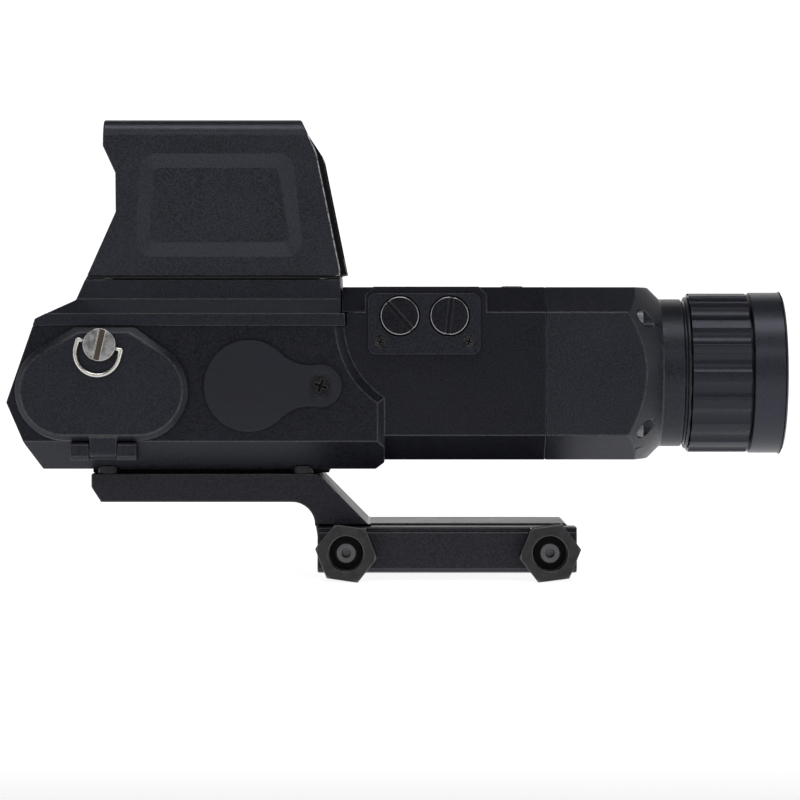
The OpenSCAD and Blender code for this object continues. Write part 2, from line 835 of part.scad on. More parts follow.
module dial(x, lean) {
    difference() {
        union() {
            rod_y(dial_y0, dial_y1, dial_r, x, dial_z);
            rod_y(dial_y1 - 0.1, dial_shank_y1, dial_shank_r, x, dial_z);
        }
        translate([x, dial_y0 + 0.2, dial_z]) rotate([0, lean, 0])
            cube([1, 1.6, 2 * dial_r + 2], center = true);
        rod_y(dial_y1 + 1, dial_y1 + 2.2, dial_shank_r + 1, x, dial_z);
    }
    rod_y(dial_y1, dial_y1 + 3, dial_shank_r - 0.4, x, dial_z);
}

module windage_dial() {
    color("#26272c") dial(dial_x[0], dial_slot_lean[0]);
}

module elevation_dial() {
    color("#26272c") dial(dial_x[1], dial_slot_lean[1]);
}

module dial_seals() {
    color("#131416")
        for (x = dial_x)
            difference() {
                rod_y(dial_y1 + 1.2, dial_y1 + 2, dial_shank_r + fit, x, dial_z);
                rod_y(dial_y1, dial_y1 + 3, dial_shank_r - 0.4 + fit, x, dial_z);
            }
}

module button(y) {
    color("#232429") {
        rod_z(button_z0, button_z1 - 0.4, button_r, button_x, y);
        translate([button_x, y, button_z1 - 0.5]) cylinder(h = 0.5, r1 = button_r, r2 = button_r - 0.5);
        rod_z(button_z0 - 0.8, button_z0 + 0.1, button_r + 0.5, button_x, y);
    }
}

module button_rear() {
    button(button_y[0]);
}

module button_middle() {
    button(button_y[1]);
}

module button_far() {
    button(button_y[2]);
}

module button_board() {
    color("#1d4a33") box([button_x - 4.5, button_x + 4.5], [-12, 12], [56.6, 57.8]);
    color("#b9bbbf") for (y = button_y) rod_z(57.7, 60.7, 1.6, button_x, y);
}

module lens_barrel() {
    color("#202126")
        difference() {
            rod_x(barrel_x0, barrel_x1, barrel_r, $fn = 96);
            rod_x(barrel_x0 - 1, barrel_x1 + 1, barrel_bore_r, $fn = 96);
            box([pin_x - pin_r - 0.1, pin_x + pin_r + focus_travel + 0.1], [-pin_r - fit, pin_r + fit],
                [axis_z + 12, axis_z + 20]);
        }
}

module focus_ring() {
    // The flute cutter's radius, for a land of about a third of the pitch
    half_flute = 0.65 * 180 / flute_count;
    floor_r = ring_r - flute_depth;
    cutter_x = (ring_r * ring_r - floor_r * floor_r) / (2 * (ring_r * cos(half_flute) - floor_r));
    color("#2a2c33")
        difference() {
            rod_x(ring_x0, ring_x1, ring_r, $fn = 96);
            rod_x(ring_x0 - 1, ring_x1 + 1, barrel_r + fit, $fn = 96);
            rod_x(pin_x - pin_r - 0.6, pin_x + pin_r + focus_travel + 0.6, barrel_r + 1.7, $fn = 96);
            for (i = [0:flute_count - 1])
                translate([0, 0, axis_z]) rotate([i * 360 / flute_count + flute_phase, 0, 0])
                    rod_x(ring_x0 - 1, ring_x1 + 1, cutter_x - floor_r, 0, cutter_x);
        }
}

module focus_drive_pin() {
    color("#a9abb0") rod_z(axis_z + 14, axis_z + barrel_r + 1.4, pin_r, pin_x, 0);
}

module lens_cell() {
    color("#1e1f24")
        difference() {
            rod_x(cell_x0, cell_x1, barrel_bore_r - fit, $fn = 96);
            rod_x(cell_x0 - 1, cell_x1 + 1, 12, $fn = 96);
            rod_x(70, cell_x1 + 1, cell_bore_front_r, $fn = 96);
            rod_x(cell_x0 - 1, 63, 12.6, $fn = 96);
            rod_z(axis_z + 13.9, axis_z + 20, pin_r, pin_x, 0);
        }
}

module front_lens() {
    color("#7fa3c7", 0.5)
        intersection() {
            rod_x(70, 76, cell_bore_front_r, $fn = 96);
            translate([75.5 - 45, 0, axis_z]) sphere(45, $fn = 96);
        }
}

module rear_lens() {
    color("#7fa3c7", 0.5)
        intersection() {
            rod_x(58, 63, 12.6, $fn = 96);
            translate([58.6 + 40, 0, axis_z]) sphere(40, $fn = 96);
        }
}

module lens_retaining_ring() {
    color("#1e1f24")
        difference() {
            rod_x(75.5, cell_x1, cell_bore_front_r, $fn = 96);
            rod_x(75, cell_x1 + 1, cell_bore_front_r - 1.2, $fn = 96);
        }
}

module objective_bell() {
    edge = 0.5;
    color("#2a2c33")
        difference() {
            union() {
                rod_x(bell_x0, bell_x1 - edge, bell_r, $fn = 96);
                translate([bell_x1 - edge - 0.01, 0, axis_z]) rotate([0, 90, 0])
                    cylinder(h = edge + 0.01, r1 = bell_r, r2 = bell_r - edge, $fn = 96);
            }
            rod_x(bell_x0 - 1, barrel_x1, barrel_r, $fn = 96);
            rod_x(bell_x0 - 1, bell_x1 + 1, barrel_bore_r + 0.3, $fn = 96);
            translate([barrel_x1 + 0.6, 0, axis_z]) rotate([0, 90, 0])
                cylinder(h = bell_x1 - barrel_x1, r1 = barrel_bore_r + 0.3, r2 = barrel_bore_r + 2.6, $fn = 96);
        }
}

// The bar, its cranked foot and the fixed jaw on the far side
module riser() {
    far_jaw = [
        [21, 4.7], [21, -5.1], [20, -6.1], [12, -6.8], [9.5, -6.8], [10.9, -5.4], [10.9, 0], [9, 0], [9, 4.7]
    ];
    color("#28282b")
        difference() {
            union() {
                difference() {
                    along_y(-riser_half_w, riser_half_w) polygon(riser_side);
                    box([-60, 40], [-30, -12], [-1, 5.3]);
                    box([-19, 40], [-30, -12], [5, 8]);
                }
                along_x(-31.4, 30.3) polygon(far_jaw);
            }
            box([-40, 40], [-10.9, -7.5], [-1, 0.4]);
            box([-40, 40], [7.5, 10.9], [-1, 0.4]);
            for (x = bolt_x) {
                rod_y(-20, 11.5, stud_r + 0.2, x, bolt_z);
                rod_y(11, 30, stud_r + fit, x, bolt_z);
            }
            for (x = riser_screw_x, y = [-riser_screw_y, riser_screw_y]) {
                rod_z(5, 30, 1.35, x, y);
                rod_z(10, 13.6, 2.6, x, y);
            }
            for (x = spacer_screw_x, y = [-spacer_screw_y, spacer_screw_y]) rod_z(12.5, 30, 1.2, x, y);
        }
}

module riser_spacer() {
    color("#1b1b1e")
        difference() {
            box(spacer_x, [-spacer_half_w, spacer_half_w], [bar_z1, block_z0]);
            for (x = riser_screw_x, y = [-riser_screw_y, riser_screw_y]) rod_z(10, 30, 1.35, x, y);
        }
}

module riser_screws() {
    color("#33343a")
        for (x = riser_screw_x, y = [-riser_screw_y, riser_screw_y])
            difference() {
                union() {
                    rod_z(11.3, 13.6, 2.5, x, y);
                    rod_z(13.5, 21.8, 1.2, x, y);
                }
                translate([x, y, 11]) cylinder(h = 1.5, r = 1.3, $fn = 6);
            }
}

module spacer_screws() {
    color("#55565c")
        for (x = spacer_screw_x, y = [-spacer_screw_y, spacer_screw_y])
            difference() {
                union() {
                    rod_z(bar_z1, 20.1, 2.6, x, y);
                    rod_z(13, bar_z1 + 0.1, 1.15, x, y);
                }
                translate([x, y, 19]) cylinder(h = 2, r = 1.3, $fn = 6);
            }
}

module clamp_jaw() {
    section = [
        [jaw_y0, 3.9], [jaw_y0 + 0.7, 3.9], [jaw_y0 + 0.7, 4.6], [jaw_y0, 4.6], [jaw_y0 + 0.5, 5.1],
        [-12.3, 5.1], [-12.3, 0.1], [-rail_half_w - 0.3, -0.4], [-rail_half_w - 0.3, -5.4],
        [-9.5, -6.8], [-12, -6.8], [jaw_y0 + 1, -6.1], [jaw_y0, -5.1]
    ];
    color("#28282b")
        difference() {
            along_x(jaw_x[0], jaw_x[1]) polygon(section);
            for (x = bolt_x) rod_y(-30, 0, stud_r + fit, x, bolt_z);
        }
}

module cross_bolts() {
    color("#2d2d30")
        for (x = bolt_x)
            difference() {
                union() {
                    rod_y(-25.6, -9, stud_r, x, bolt_z);
                    rod_y(-9.1, 9.1, waist_r, x, bolt_z);
                    rod_y(9, 21.1, stud_r, x, bolt_z);
                    rod_y(21, 24, 4.2, x, bolt_z);
                }
                rod_y(-30, -22.6, 1.1, x, bolt_z);
                translate([x, 25, bolt_z]) rotate([90, 0, 0]) cylinder(h = 2.6, r = 2.3, $fn = 6);
            }
}

module clamp_washers() {
    color("#3a3a3d")
        for (x = bolt_x)
            difference() {
                rod_y(washer_y0, jaw_y0, 5.6, x, bolt_z);
                rod_y(washer_y0 - 1, jaw_y0 + 1, stud_r + fit, x, bolt_z);
            }
}

// A hexagon nut with chamfered corners; turn is the angle of one corner
module clamp_nut(x, turn) {
    corner_r = nut_af / sqrt(3);
    chamfer = 0.4;
    color("#2c2c2f")
        difference() {
            intersection() {
                translate([x, nut_y1, bolt_z]) rotate([90, 0, 0]) rotate([0, 0, turn])
                    cylinder(h = nut_y1 - nut_y0, r = corner_r, $fn = 6);
                union() {
                    rod_y(nut_y0 + chamfer, nut_y1 + 1, corner_r + 0.1, x, bolt_z);
                    translate([x, nut_y0 + chamfer + 0.01, bolt_z]) rotate([90, 0, 0])
                        cylinder(h = chamfer + 0.01, r1 = corner_r + 0.1, r2 = corner_r - 0.45);
                }
            }
            rod_y(nut_y0 - 1, nut_y0 + nut_recess, nut_recess_r, x, bolt_z);
            rod_y(nut_y0 - 1, nut_y1 + 1, stud_r + fit, x, bolt_z);
        }
}

module clamp_nut_rear() {
    clamp_nut(bolt_x[0], -8.3);
}

module clamp_nut_front() {
    clamp_nut(bolt_x[1], 7.4);
}

main_housing();
front_housing();
front_housing_screws();
hood_base();
hood_base_screws();
hood();
hood_screws();
front_window();
window_frame();
rear_window();
rear_window_seal();
display_module();
projection_lens();
fold_mirror();
optics_bracket();
main_circuit_board();
usb_port();
sensor_bulkhead();
sensor_module();
battery_cells();
battery_springs();
battery_door();
door_contacts();
door_seal();
door_hinge_block();
door_hinge_pin();
latch_screw();
latch_clip();
d_ring();
port_cover_tail();
port_cover_flap();
port_cover_screw();
adjuster_plate();
adjuster_plate_screws();
windage_dial();
elevation_dial();
dial_seals();
button_rear();
button_middle();
button_far();
button_board();
lens_barrel();
focus_ring();
focus_drive_pin();
lens_cell();
front_lens();
rear_lens();
lens_retaining_ring();
objective_bell();
riser();
riser_spacer();
riser_screws();
spacer_screws();
clamp_jaw();
cross_bolts();
clamp_washers();
clamp_nut_rear();
clamp_nut_front();
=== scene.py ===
"""Looks of the rail-mounted red dot sight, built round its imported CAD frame."""
import json
import math

import bmesh
import bpy
from mathutils import Matrix, Vector


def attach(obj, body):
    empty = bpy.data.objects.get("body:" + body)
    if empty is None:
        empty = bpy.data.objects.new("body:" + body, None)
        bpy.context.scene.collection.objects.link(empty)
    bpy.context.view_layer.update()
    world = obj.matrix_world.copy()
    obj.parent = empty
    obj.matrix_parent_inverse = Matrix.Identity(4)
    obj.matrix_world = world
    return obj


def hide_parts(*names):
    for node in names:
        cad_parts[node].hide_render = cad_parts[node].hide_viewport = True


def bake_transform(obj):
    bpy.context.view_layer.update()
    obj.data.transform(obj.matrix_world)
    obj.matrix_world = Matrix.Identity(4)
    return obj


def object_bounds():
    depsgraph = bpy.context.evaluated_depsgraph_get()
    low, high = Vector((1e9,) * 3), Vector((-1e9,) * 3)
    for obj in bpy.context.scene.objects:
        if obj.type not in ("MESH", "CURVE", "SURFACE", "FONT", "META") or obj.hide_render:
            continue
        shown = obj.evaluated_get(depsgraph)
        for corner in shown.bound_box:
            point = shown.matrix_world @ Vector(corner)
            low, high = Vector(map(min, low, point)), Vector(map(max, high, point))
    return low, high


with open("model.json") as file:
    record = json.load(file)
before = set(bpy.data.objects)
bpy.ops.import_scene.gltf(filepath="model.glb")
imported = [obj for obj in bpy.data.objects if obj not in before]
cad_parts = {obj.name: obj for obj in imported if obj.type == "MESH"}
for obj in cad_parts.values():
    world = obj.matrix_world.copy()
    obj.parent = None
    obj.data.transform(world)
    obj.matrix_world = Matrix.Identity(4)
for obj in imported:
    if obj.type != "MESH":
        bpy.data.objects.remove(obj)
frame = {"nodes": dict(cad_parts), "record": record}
cad_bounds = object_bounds()

MM = 0.001
SCENE = bpy.context.scene
NODES = frame["nodes"]


def node_box(name):
    """The lowest and highest corners of a CAD node, in metres."""
    corners = [NODES[name].matrix_world @ Vector(corner) for corner in NODES[name].bound_box]
    low = Vector(min(corner[i] for corner in corners) for i in range(3))
    high = Vector(max(corner[i] for corner in corners) for i in range(3))
    return low, high


def front_face(name):
    """The Y of the side of a CAD node that faces the camera."""
    return node_box(name)[0].y


def circle_turns(count):
    """Evenly spaced angles round a circle, in radians."""
    return [math.tau * k / count for k in range(count)]


# ---------------------------------------------------------------- camera, floor, light

def look_along_y(name, place, lens, shift_y):
    """A camera that looks level along +Y."""
    data = bpy.data.cameras.new(name)
    data.lens = lens
    data.sensor_width = 36
    data.shift_y = shift_y
    data.clip_end = 20
    camera = bpy.data.objects.new(name, data)
    camera.location = place
    camera.rotation_euler = (math.radians(90), 0, 0)
    SCENE.collection.objects.link(camera)
    SCENE.camera = camera


def area_light(name, place, target, size, power):
    """A soft white rectangular light that faces a target point."""
    data = bpy.data.lights.new(name, "AREA")
    data.shape = "RECTANGLE"
    data.size, data.size_y = size
    data.energy = power
    light = bpy.data.objects.new(name, data)
    light.location = place
    light.rotation_euler = (Vector(target) - Vector(place)).to_track_quat("-Z", "Y").to_euler()
    SCENE.collection.objects.link(light)


def cyclorama(floor_z):
    """A pale round floor that curves up into a wall on every side."""
    flat_r, curve_r, height = 1.9, 0.7, 2.6
    steps, sectors = 12, 64
    profile = [(flat_r * i / 4, 0) for i in range(1, 5)]
    for i in range(1, steps + 1):
        turn = math.radians(90) * i / steps
        profile.append((flat_r + curve_r * math.sin(turn), curve_r * (1 - math.cos(turn))))
    profile.append((flat_r + curve_r, height))
    points = [(0, 0, floor_z)]
    for radius, rise in profile:
        for turn in circle_turns(sectors):
            points.append((radius * math.cos(turn), radius * math.sin(turn), floor_z + rise))
    faces = [(0, 1 + k, 1 + (k + 1) % sectors) for k in range(sectors)]
    for ring in range(len(profile) - 1):
        low = 1 + ring * sectors
        for k in range(sectors):
            after = (k + 1) % sectors
            faces.append((low + k, low + sectors + k, low + sectors + after, low + after))
    mesh = bpy.data.meshes.new("cyclorama")
    mesh.from_pydata(points, [], faces)
    for polygon in mesh.polygons:
        polygon.use_smooth = True
    floor = bpy.data.objects.new("cyclorama", mesh)
    SCENE.collection.objects.link(floor)
    floor.data.materials.append(paper_material())


# ---------------------------------------------------------------- material building

class Graph:
    """A small helper for building a node-based material."""

    def __init__(self, name):
        self.material = bpy.data.materials.new(name)
        self.material.use_nodes = True
        self.tree = self.material.node_tree
        self.shader = self.tree.nodes["Principled BSDF"]
        self.place = self.add("ShaderNodeTexCoord").outputs["Object"]

    def add(self, kind, **settings):
        node = self.tree.nodes.new(kind)
        for key, value in settings.items():
            setattr(node, key, value)
        return node

    def link(self, source, target):
        self.tree.links.new(source, target)

    def noise(self, scale, detail=2.0, roughness=0.5, place=None):
        node = self.add("ShaderNodeTexNoise")
        node.inputs["Scale"].default_value = scale
        node.inputs["Detail"].default_value = detail
        node.inputs["Roughness"].default_value = roughness
        self.link(place or self.place, node.inputs["Vector"])
        return node.outputs["Fac"]

    def remap(self, value, low, high, to_low, to_high):
        node = self.add("ShaderNodeMapRange")
        limits = {"From Min": low, "From Max": high, "To Min": to_low, "To Max": to_high}
        for key, number in limits.items():
            node.inputs[key].default_value = number
        self.link(value, node.inputs["Value"])
        return node.outputs["Result"]

    def mix_color(self, factor, first, second, mode="MIX"):
        node = self.add("ShaderNodeMix", data_type="RGBA", blend_type=mode)
        self.feed(factor, node.inputs[0])
        self.feed(first, node.inputs[6])
        self.feed(second, node.inputs[7])
        return node.outputs[2]

    def math(self, operation, first, second):
        node = self.add("ShaderNodeMath", operation=operation)
        self.feed(first, node.inputs[0])
        self.feed(second, node.inputs[1])
        return node.outputs[0]

    def feed(self, value, socket):
        """Links a socket, or sets a constant on it."""
        if isinstance(value, bpy.types.NodeSocket):
            self.link(value, socket)
        elif isinstance(value, (tuple, list)):
            socket.default_value = tuple(value) + (1.0,) * (len(socket.default_value) - len(value))
        else:
            socket.default_value = value

    def bump(self, heights, depths):
        """A chain of bump nodes, one for each height, with depths in metres."""
        normal = None
        for height, depth in zip(heights, depths):
            node = self.add("ShaderNodeBump")
            node.inputs["Strength"].default_value = 1.0
            node.inputs["Distance"].default_value = depth
            self.link(height, node.inputs["Height"])
            if normal:
                self.link(normal, node.inputs["Normal"])
            normal = node.outputs["Normal"]
        self.link(normal, self.shader.inputs["Normal"])

    def set(self, **sockets):
        for key, value in sockets.items():
            self.feed(value, self.shader.inputs[key.replace("_", " ")])
        return self


def scaled(color, factor):
    return tuple(channel * factor for channel in color)


def paper_material():
    """White paper that glows as the backdrop, and less in front of the object and far to each side."""
    g = Graph("paper")
    tone = g.remap(g.noise(3), 0.3, 0.7, 0.965, 1.0)
    axes = g.add("ShaderNodeSeparateXYZ")
    g.link(g.place, axes.inputs["Vector"])
    behind = g.remap(axes.outputs["Y"], -0.6, -0.3, 0.05, 0.9)
    aside = g.remap(g.math("ABSOLUTE", axes.outputs["X"], 0), 0.46, 1.0, 1, 0.25)
    glow = g.math("MULTIPLY", behind, aside)
    g.set(Base_Color=g.mix_color(tone, (0.36, 0.36, 0.36), (0.44, 0.44, 0.44)), Roughness=0.85,
          Specular_IOR_Level=0.1, Emission_Color=(1.0, 1.0, 1.0), Emission_Strength=glow)
    return g.material


def anodised(name, color, roughness=0.38, shine=0.3, grain=0.00036, fleck=0.6, bump=0.000022,
             contrast=0.6):
    """Bead-blasted, black anodised aluminium: a fine grain with small light flecks."""
    g = Graph(name)
    fine = g.noise(1 / grain, 1.2, 0.5)
    coarse = g.noise(1 / (grain * 3.2), 2)
    cloud = g.noise(55, 3)
    grains = g.remap(fine, 0.38, 0.62, 0, 1)
    tone = g.mix_color(grains, scaled(color, 1 - contrast), scaled(color, 1 + contrast))
    tone = g.mix_color(g.remap(cloud, 0.35, 0.65, 0, 0.22), tone, scaled(color, 1.35))
    speck = g.remap(g.noise(1 / (grain * 0.9), 1, 0.5), 0.68, 0.78, 0, fleck)
    tone = g.mix_color(speck, tone, scaled(color, 3.2))
    rough = g.math("ADD", g.remap(fine, 0.3, 0.7, -0.06, 0.08), g.remap(cloud, 0.3, 0.7, -0.03, 0.03))
    g.set(Base_Color=tone, Roughness=g.math("ADD", rough, roughness), Specular_IOR_Level=shine,
          Specular_Tint=(0.82, 0.85, 1.0))
    g.bump([coarse, fine], [bump * 1.6, bump])
    return g.material


def edge_wear_and_highlight(name, color, roughness=0.3, front_highlight=False):
    """The thin bevels of an anodised part, lighter than its faces: partly polished a little by handling,
    partly a painted highlight.

    front_highlight paints a bright highlight along the hood's slanted front edge.
    """
    g = Graph(name)
    wear = g.remap(g.noise(900, 4, 0.65), 0.5, 0.76, 0, 0.4)
    tone = g.mix_color(wear, color, (0.09, 0.093, 0.105))
    if front_highlight:
        axes = g.add("ShaderNodeSeparateXYZ")
        g.link(g.place, axes.inputs["Vector"])
        # The edge leans back as it rises, so its X plus a share of its Z is steady
        lean = g.math("ADD", axes.outputs["X"], g.math("MULTIPLY", axes.outputs["Z"], HOOD_LEAN))
        foot = node_box("hood")[1].x + node_box("hood")[0].z * HOOD_LEAN
        # A bright highlight is painted in a thin band along the hood's slanted front edge, broken up by
        # noise.
        highlight_band = g.remap(lean, foot - 1.3 * MM, foot - 0.9 * MM, 0, 1)
        patch = g.remap(g.noise(900, 4, 0.65), 0.38, 0.62, 0.1, 1)
        tone = g.mix_color(g.math("MULTIPLY", highlight_band, patch), tone, (0.42, 0.42, 0.44))
    rough = g.remap(g.noise(900, 2), 0.3, 0.7, roughness - 0.05, roughness + 0.1)
    g.set(Base_Color=tone, Roughness=rough, Specular_IOR_Level=0.4)
    g.bump([g.noise(2500, 2)], [0.000008])
    return g.material


def rubber(name, color, roughness=0.62, shine=0.45):
    """Moulded matt rubber with a faint skin texture and dust."""
    g = Graph(name)
    skin = g.noise(2400, 3, 0.6)
    cloud = g.noise(70, 3)
    tone = g.mix_color(g.remap(cloud, 0.35, 0.65, 0, 1), scaled(color, 0.9), scaled(color, 1.15))
    dust = g.remap(g.noise(3100, 1), 0.72, 0.8, 0, 0.35)
    tone = g.mix_color(dust, tone, scaled(color, 3))
    g.set(Base_Color=tone, Roughness=g.remap(skin, 0.3, 0.7, roughness - 0.05, roughness + 0.08),
          Specular_IOR_Level=shine)
    g.bump([skin, cloud], [0.000018, 0.00004])
    return g.material


def steel(name, color, roughness=0.25, metallic=1.0, scratch=0.6):
    """Bright or blackened metal with fine streaks, which scratch makes rougher."""
    g = Graph(name)
    cloud = g.noise(180, 4, 0.6)
    fine = g.noise(2600, 3, 0.6)
    tone = g.mix_color(g.remap(cloud, 0.35, 0.7, 0, 1), scaled(color, 0.82), scaled(color, 1.12))
    streak = g.add("ShaderNodeMapping")
    streak.inputs["Scale"].default_value = (1, 1, 14)
    streak.inputs["Rotation"].default_value = (0.2, 0.5, 0.1)
    g.link(g.place, streak.inputs["Vector"])
    lines = g.noise(700, 4, 0.7, place=streak.outputs["Vector"])
    rough = g.remap(lines, 0.3, 0.7, roughness * (1 - 0.4 * scratch), roughness * (1 + 0.5 * scratch))
    g.set(Base_Color=tone, Metallic=metallic, Roughness=rough)
    g.bump([lines, fine], [0.000006, 0.000005])
    return g.material


def recessed_steel(name, color, face_y, depth, recess_tone_and_shade=(0.004, 0.004, 0.005), roughness=0.3,
                   metallic=0.85, patch=0.25):
    """Steel with a clean face, and dull, dark recesses deeper than depth behind face_y; the default dark
    is painted shade, a given colour is the metal's own unpolished tone.
    """
    g = Graph(name)
    axes = g.add("ShaderNodeSeparateXYZ")
    g.link(g.place, axes.inputs["Vector"])
    sunk = g.remap(axes.outputs["Y"], face_y + depth * 0.8, face_y + depth, 0, 1)
    cloud = g.remap(g.noise(520, 4, 0.65), 0.4, 0.62, 0, 1)
    face = g.mix_color(cloud, scaled(color, 1 - patch), color)
    # Deeper than depth the colour turns dark: near-black painted shade by default, the latch screw's own
    # brown unpolished slot floor when given.
    g.set(Base_Color=g.mix_color(sunk, face, recess_tone_and_shade), Metallic=g.remap(sunk, 0, 1, metallic, 0.1),
          Roughness=g.remap(sunk, 0, 1, roughness, 0.6), Specular_IOR_Level=0.08)
    g.bump([g.noise(2600, 3, 0.6)], [0.000006])
    return g.material


def rim_steel(name, node, inner):
    """The polished rim of a round dial; edges nearer its centre than inner of its radius stay dark."""
    g = Graph(name)
    low, high = node_box(node)
    middle = (low + high) / 2
    radius = (high.x - low.x) / 2
    flat = g.add("ShaderNodeMapping")
    flat.inputs["Location"].default_value = (-middle.x, 0, -middle.z)
    flat.inputs["Scale"].default_value = (1, 0, 1)
    g.link(g.place, flat.inputs["Vector"])
    length = g.add("ShaderNodeVectorMath", operation="LENGTH")
    g.link(flat.outputs["Vector"], length.inputs[0])
    outside = g.remap(length.outputs["Value"], radius * (inner - 0.02), radius * inner, 0, 1)
    wear = g.remap(g.noise(700, 3), 0.3, 0.7, 0.75, 1.0)
    bright = g.mix_color(wear, (0.2, 0.2, 0.21), (0.42, 0.42, 0.44))
    tone = g.mix_color(outside, (0.012, 0.012, 0.015), bright)
    g.set(Base_Color=tone, Metallic=outside, Roughness=0.3)
    return g.material


def glass(name, color, tint):
    """Coated optical glass with a faint haze of dust."""
    g = Graph(name)
    haze = g.noise(90, 4, 0.6)
    tone = g.mix_color(g.remap(haze, 0.3, 0.7, 0, 1), color, scaled(color, 0.96))
    g.set(Base_Color=tone, Roughness=g.remap(haze, 0.3, 0.7, 0.02, 0.04), Transmission_Weight=1.0, IOR=1.5,
          Coat_Weight=0.6, Coat_Roughness=0.02, Coat_Tint=tint)
    return g.material


def plastic(name, color, roughness=0.5, scale=1500, shine=0.5):
    """Moulded plastic or matt paint with a fine texture."""
    g = Graph(name)
    skin = g.noise(scale, 3)
    cloud = g.remap(g.noise(120, 3), 0.35, 0.65, 0, 1)
    tone = g.mix_color(cloud, scaled(color, 0.85), scaled(color, 1.15))
    g.set(Base_Color=tone, Roughness=g.remap(skin, 0.3, 0.7, roughness - 0.06, roughness + 0.06),
          Specular_IOR_Level=shine)
    g.bump([skin], [0.00001])
    return g.material


def circuit_board(name):
    """Green solder mask with traces showing as a fine step pattern."""
    g = Graph(name)
    cells = g.add("ShaderNodeTexVoronoi", distance="CHEBYCHEV", feature="F1")
    cells.inputs["Scale"].default_value = 420
    g.link(g.place, cells.inputs["Vector"])
    traces = g.remap(cells.outputs["Distance"], 0.42, 0.5, 0, 1)
    tone = g.mix_color(traces, (0.008, 0.07, 0.03), (0.02, 0.16, 0.06))
    g.set(Base_Color=tone, Roughness=0.32)
    g.bump([traces], [0.00002])
    return g.material


# The usual black of the anodised parts and the grey of the clamp nuts, as linear red, green and blue
BLACK = (0.0092, 0.0096, 0.0136)
NUT_GREY = (0.05, 0.049, 0.05)
# How far the hood's front edge leans back for each step that it rises
HOOD_LEAN = 0.203
MATERIALS = {
    "housing_black": anodised("housing_black", scaled(BLACK, 0.72), shine=0.22),
    "hood_black": anodised("hood_black", (0.0106, 0.0116, 0.0150), shine=0.42),
    "mount_black": anodised("mount_black", (0.0104, 0.0098, 0.0126), shine=0.27, fleck=0.3),
    "door_black": anodised("door_black", scaled(BLACK, 0.98), roughness=0.42, shine=0.29),
    "ring_black": anodised("ring_black", (0.0108, 0.0112, 0.0156), roughness=0.32, fleck=0.3,
                           bump=0.000008, contrast=0.3),
    "oxide_steel": steel("oxide_steel", (0.038, 0.038, 0.042), roughness=0.34, metallic=0.85),
    "dark_screw": steel("dark_screw", (0.035, 0.035, 0.038), roughness=0.34, metallic=0.9),
    "bright_steel": steel("bright_steel", (0.66, 0.64, 0.60), roughness=0.24),
    "dial_black": anodised("dial_black", (0.0070, 0.0072, 0.0090), roughness=0.36, shine=0.2, fleck=0.2,
                           bump=0.00001),
    "rubber_black": rubber("rubber_black", (0.0054, 0.0062, 0.0120), shine=0.32),
    "seal_rubber": rubber("seal_rubber", (0.008, 0.008, 0.009)),
    "button_rubber": rubber("button_rubber", (0.014, 0.015, 0.018)),
    "window_glass": glass("window_glass", (0.93, 0.97, 1.0), (0.75, 0.85, 1.0)),
    "lens_glass": glass("lens_glass", (0.88, 0.93, 1.0), (0.55, 0.65, 1.0)),
    "mirror": steel("mirror", (0.9, 0.91, 0.93), roughness=0.06, scratch=0.2),
    "frame_black": plastic("frame_black", (0.0025, 0.0025, 0.003), 0.6, shine=0.15),
    "board_green": circuit_board("board_green"),
    "contact_gold": steel("contact_gold", (0.85, 0.62, 0.25), roughness=0.22),
    "cell_wrap": plastic("cell_wrap", (0.02, 0.05, 0.16), 0.3),
    "bracket_black": plastic("bracket_black", (0.012, 0.012, 0.014), 0.5),
}
# Anodised bevels lighter than the faces: partly wear, partly a painted highlight along the edges.
EDGE = edge_wear_and_highlight("anodised_edge", (0.013, 0.014, 0.018))
# Brighter steel on the bevels of oxide-steel parts and dark screws: a painted highlight ring round their
# edges.
STEEL_EDGE = steel("oxide_edge", (0.1, 0.1, 0.105), roughness=0.32, metallic=0.9)

# Nodes whose look differs from the rest of their slot
NODE_LOOKS = {
    "front_housing": anodised("front_black", scaled(BLACK, 1.1), shine=0.32),
    "hood_base": anodised("hood_base_black", BLACK, shine=0.3),
    "objective_bell": anodised("bell_black", (0.0160, 0.0166, 0.0228), roughness=0.34, shine=0.36,
                               fleck=0.3, bump=0.000008, contrast=0.3),
    "adjuster_plate": anodised("plate_black", BLACK, shine=0.26),
    # The recesses of these two screws, deeper than 0.3 mm, are painted near-black as shade.
    "port_cover_screw": recessed_steel("cover_screw_steel", (0.024, 0.024, 0.026),
                                       front_face("port_cover_screw"), 0.3 * MM, roughness=0.4),
    "adjuster_plate_screws": recessed_steel("plate_screw_steel", (0.055, 0.055, 0.056),
                                            front_face("adjuster_plate_screws"), 0.3 * MM,
                                            roughness=0.34, patch=0.7),
    "latch_screw": recessed_steel("latch_steel", (0.62, 0.62, 0.62), front_face("latch_screw"), 0.5 * MM,
                                  recess_tone_and_shade=(0.09, 0.07, 0.055), roughness=0.27, metallic=1.0,
                                  patch=0.55),
    # On the clamp nuts everything more than 0.6 mm behind the front face, the bore among it, is painted
    # near-black as shade.
    "clamp_nut_rear": recessed_steel("rear_nut_steel", NUT_GREY, front_face("clamp_nut_rear"), 0.6 * MM,
                                     roughness=0.36),
    "clamp_nut_front": recessed_steel("front_nut_steel", NUT_GREY, front_face("clamp_nut_front"),
                                      0.6 * MM, roughness=0.36),
    "cross_bolts": steel("bolt_steel", (0.11, 0.11, 0.115), roughness=0.3, metallic=0.9),
    # The spacer screws are painted near-black as shade, where they sit in the narrow gap under the block;
    # their bevels share this look.
    "spacer_screws": steel("spacer_screw_painted_shade", (0.012, 0.012, 0.014), roughness=0.45, metallic=0.5),
    "front_housing_screws": steel("seam_screw_steel", (0.17, 0.17, 0.175), roughness=0.45),
    "door_hinge_pin": steel("pin_steel", (0.04, 0.04, 0.042), roughness=0.4, metallic=0.9),
}
